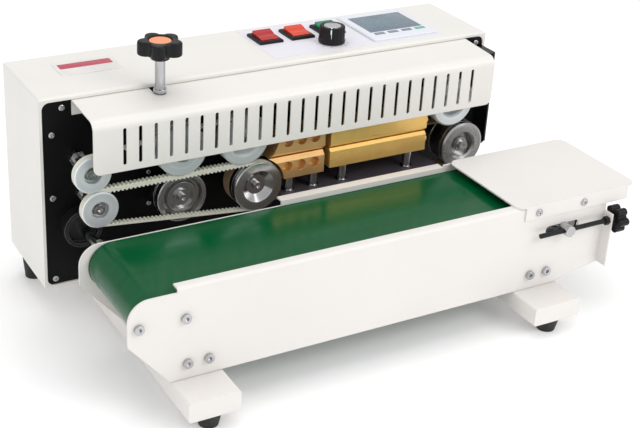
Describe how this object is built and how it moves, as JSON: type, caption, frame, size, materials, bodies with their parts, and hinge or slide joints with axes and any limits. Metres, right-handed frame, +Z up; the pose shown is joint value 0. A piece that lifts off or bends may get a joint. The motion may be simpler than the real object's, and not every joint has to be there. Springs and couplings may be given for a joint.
{
  "type": "continuous band sealer",
  "caption": "Tabletop bag sealer with slotted guard, belt and wheel sealing line, heating and cooling blocks, and a green conveyor on two cross beams.",
  "frame": {"origin": "middle of the footprint, on the surface the machine stands on", "axes": "+X runs right along the conveyor to the feed table, +Y runs back from the conveyor to the housing, +Z is up"},
  "size_m": [0.677, 0.408, 0.34],
  "materials": {
    "ivory_paint": "satin",
    "white_paint": "satin",
    "black_paint": "semi-gloss",
    "zinc_steel": "satin",
    "turned_steel": "polished",
    "chrome_steel": "bright",
    "block_brass": "machined",
    "guide_rubber": "matt",
    "ptfe_cloth": "smooth",
    "conveyor_pvc": "glossy",
    "black_rubber": "matt",
    "black_plastic": "satin",
    "knob_plastic": "satin",
    "controller_plastic": "satin",
    "display_lens": "gloss",
    "key_plastic": "satin",
    "green_key_plastic": "satin",
    "red_rocker_plastic": "gloss",
    "orange_rocker_plastic": "gloss",
    "green_rocker_plastic": "gloss",
    "roller_aluminium": "satin",
    "gear_case": "cast",
    "chain_steel": "oiled",
    "board_laminate": "matt",
    "label_film": "satin"
  },
  "bodies": {
    "machine": {"base_plate": "black_paint", "block_bracket": "zinc_steel", "block_posts": "chrome_steel", "bottom_plate": "ivory_paint", "circuit_board": "board_laminate", "controller_case": "controller_plastic", "controller_window": "display_lens", "conveyor_back_panel": "white_paint", "conveyor_bed": "zinc_steel", "conveyor_belt": "conveyor_pvc", "conveyor_front_panel": "white_paint", "cross_beams": "white_paint", "drive_chains": "chain_steel", "drive_motor": "gear_case", "end_bracket": "black_paint", "feed_table": "white_paint", "gearbox": "gear_case", "guard_cover": "ivory_paint", "guide_belts": "guide_rubber", "housing_shell": "ivory_paint", "idler_axles": "turned_steel", "machine_screws": "chrome_steel", "name_plate": "label_film", "power_inlet": "black_plastic", "pressure_bracket": "zinc_steel", "rear_cover": "ivory_paint", "rubber_feet": "black_rubber", "sealing_belts": "ptfe_cloth", "shaft_bearings": "turned_steel", "switch_bodies": "black_plastic", "upper_cooling_block": "block_brass", "upper_heating_block": "block_brass"},
    "lower_press": {"lower_press_wheel": "turned_steel", "lower_press_shaft": "turned_steel"},
    "upper_press": {"upper_press_wheel": "zinc_steel", "upper_press_shaft": "turned_steel"},
    "lower_emboss": {"lower_emboss_wheel": "turned_steel"},
    "upper_emboss": {"upper_emboss_wheel": "turned_steel"},
    "lower_guide": {"lower_guide_pulley": "zinc_steel"},
    "upper_guide": {"upper_guide_pulley": "zinc_steel"},
    "lower_seal": {"lower_seal_pulley": "zinc_steel"},
    "upper_seal": {"upper_seal_pulley": "zinc_steel"},
    "gearbox_output": {"output_sprockets": "turned_steel"},
    "conveyor_drive": {"drive_shaft": "chrome_steel", "drive_roller": "roller_aluminium"},
    "tail_carriage": {"tail_axle": "turned_steel"},
    "conveyor_tail": {"tail_roller": "roller_aluminium"},
    "belt_tensioner": {"tension_screw": "knob_plastic"},
    "lower_cooler": {"lower_cooling_block": "block_brass"},
    "lower_heater": {"lower_heating_block": "block_brass"},
    "pressure_adjuster": {"pressure_knob": "black_plastic", "pressure_screw": "chrome_steel"},
    "power_switch": {"power_rocker": "red_rocker_plastic"},
    "heat_switch": {"heat_rocker": "orange_rocker_plastic"},
    "fan_switch": {"fan_rocker": "green_rocker_plastic"},
    "speed_control": {"speed_knob": "black_plastic"},
    "set_button": {"set_key": "key_plastic"},
    "shift_button": {"shift_key": "key_plastic"},
    "down_button": {"down_key": "key_plastic"},
    "up_button": {"up_key": "green_key_plastic"}
  },
  "joints": [
    {"name": "lower_press_turn", "type": "hinge", "parent": "machine", "child": "lower_press", "pos_m": [-0.0865, 0.078, 0.15085], "axis": [0, 1, 0], "continuous": true},
    {"name": "upper_press_turn", "type": "hinge", "parent": "machine", "child": "upper_press", "pos_m": [-0.1065, 0.078, 0.21515], "axis": [0, 1, 0], "continuous": true},
    {"name": "lower_emboss_turn", "type": "hinge", "parent": "machine", "child": "lower_emboss", "pos_m": [-0.1815, 0.078, 0.1505], "axis": [0, 1, 0], "continuous": true},
    {"name": "upper_emboss_turn", "type": "hinge", "parent": "machine", "child": "upper_emboss", "pos_m": [-0.1865, 0.078, 0.2155], "axis": [0, 1, 0], "continuous": true},
    {"name": "lower_guide_turn", "type": "hinge", "parent": "machine", "child": "lower_guide", "pos_m": [-0.288, 0.078, 0.1606], "axis": [0, 1, 0], "continuous": true},
    {"name": "upper_guide_turn", "type": "hinge", "parent": "machine", "child": "upper_guide", "pos_m": [-0.296, 0.078, 0.2054], "axis": [0, 1, 0], "continuous": true},
    {"name": "lower_seal_turn", "type": "hinge", "parent": "machine", "child": "lower_seal", "pos_m": [0.2115, 0.078, 0.15185], "axis": [0, 1, 0], "continuous": true},
    {"name": "upper_seal_turn", "type": "hinge", "parent": "machine", "child": "upper_seal", "pos_m": [0.1905, 0.078, 0.21415], "axis": [0, 1, 0], "continuous": true},
    {"name": "gearbox_output_turn", "type": "hinge", "parent": "machine", "child": "gearbox_output", "pos_m": [-0.1885, 0.078, 0.088], "axis": [0, 1, 0], "continuous": true},
    {"name": "conveyor_drive_turn", "type": "hinge", "parent": "machine", "child": "conveyor_drive", "pos_m": [-0.2935, 0.078, 0.118], "axis": [0, 1, 0], "continuous": true},
    {"name": "tail_slide", "type": "slide", "parent": "machine", "child": "tail_carriage", "axis": [1, 0, 0], "range_m": [-0.005, 0.005], "deforming": ["conveyor_belt"]},
    {"name": "conveyor_tail_turn", "type": "hinge", "parent": "tail_carriage", "child": "conveyor_tail", "pos_m": [0.2315, 0.078, 0.118], "axis": [0, 1, 0], "continuous": true},
    {"name": "tension_screw_turn", "type": "hinge", "parent": "machine", "child": "belt_tensioner", "pos_m": [0.2965, -0.169, 0.118], "axis": [1, 0, 0], "range_deg": [-1800, 1800]},
    {"name": "cooler_float", "type": "slide", "parent": "machine", "child": "lower_cooler", "axis": [0, 0, 1], "range_m": [-0.002, 0], "stiffness_N_per_m": 4000, "springref_m": 0.003},
    {"name": "heater_float", "type": "slide", "parent": "machine", "child": "lower_heater", "axis": [0, 0, 1], "range_m": [-0.002, 0], "stiffness_N_per_m": 5000, "springref_m": 0.004},
    {"name": "pressure_screw_turn", "type": "hinge", "parent": "machine", "child": "pressure_adjuster", "pos_m": [-0.199, 0.062, 0.3], "axis": [0, 0, 1], "range_deg": [-360, 360]},
    {"name": "speed_knob_turn", "type": "hinge", "parent": "machine", "child": "speed_control", "pos_m": [0.0615, 0.119, 0.29], "axis": [0, 0, -1], "range_deg": [0, 300]},
    {"name": "power_switch_rock", "type": "hinge", "parent": "machine", "child": "power_switch", "pos_m": [-0.0115, 0.16, 0.283], "axis": [1, 0, 0], "range_deg": [-20, 0]},
    {"name": "heat_switch_rock", "type": "hinge", "parent": "machine", "child": "heat_switch", "pos_m": [0.034, 0.16, 0.283], "axis": [1, 0, 0], "range_deg": [-20, 0]},
    {"name": "fan_switch_rock", "type": "hinge", "parent": "machine", "child": "fan_switch", "pos_m": [0.0795, 0.16, 0.283], "axis": [1, 0, 0], "range_deg": [-20, 0]},
    {"name": "set_key_press", "type": "slide", "parent": "machine", "child": "set_button", "axis": [0, 0, -1], "range_m": [0, 0.0006], "stiffness_N_per_m": 300, "springref_m": -0.001},
    {"name": "shift_key_press", "type": "slide", "parent": "machine", "child": "shift_button", "axis": [0, 0, -1], "range_m": [0, 0.0006], "stiffness_N_per_m": 300, "springref_m": -0.001},
    {"name": "down_key_press", "type": "slide", "parent": "machine", "child": "down_button", "axis": [0, 0, -1], "range_m": [0, 0.0006], "stiffness_N_per_m": 300, "springref_m": -0.001},
    {"name": "up_key_press", "type": "slide", "parent": "machine", "child": "up_button", "axis": [0, 0, -1], "range_m": [0, 0.0006], "stiffness_N_per_m": 300, "springref_m": -0.001}
  ],
  "couplings": [
    {"joint": "upper_press_turn", "follows": "lower_press_turn", "ratio": -1},
    {"joint": "lower_emboss_turn", "follows": "lower_press_turn", "ratio": 1},
    {"joint": "upper_emboss_turn", "follows": "lower_press_turn", "ratio": -1},
    {"joint": "lower_guide_turn", "follows": "lower_press_turn", "ratio": 1.4863},
    {"joint": "upper_guide_turn", "follows": "lower_press_turn", "ratio": -1.4863},
    {"joint": "lower_seal_turn", "follows": "lower_press_turn", "ratio": 1.0325},
    {"joint": "upper_seal_turn", "follows": "lower_press_turn", "ratio": -1.0325},
    {"joint": "gearbox_output_turn", "follows": "lower_press_turn", "ratio": 1.25},
    {"joint": "conveyor_drive_turn", "follows": "lower_press_turn", "ratio": 1.0714},
    {"joint": "conveyor_tail_turn", "follows": "lower_press_turn", "ratio": 1.0714},
    {"joint": "tension_screw_turn", "follows": "tail_slide", "rad_per_m": -6283.2}
  ]
}
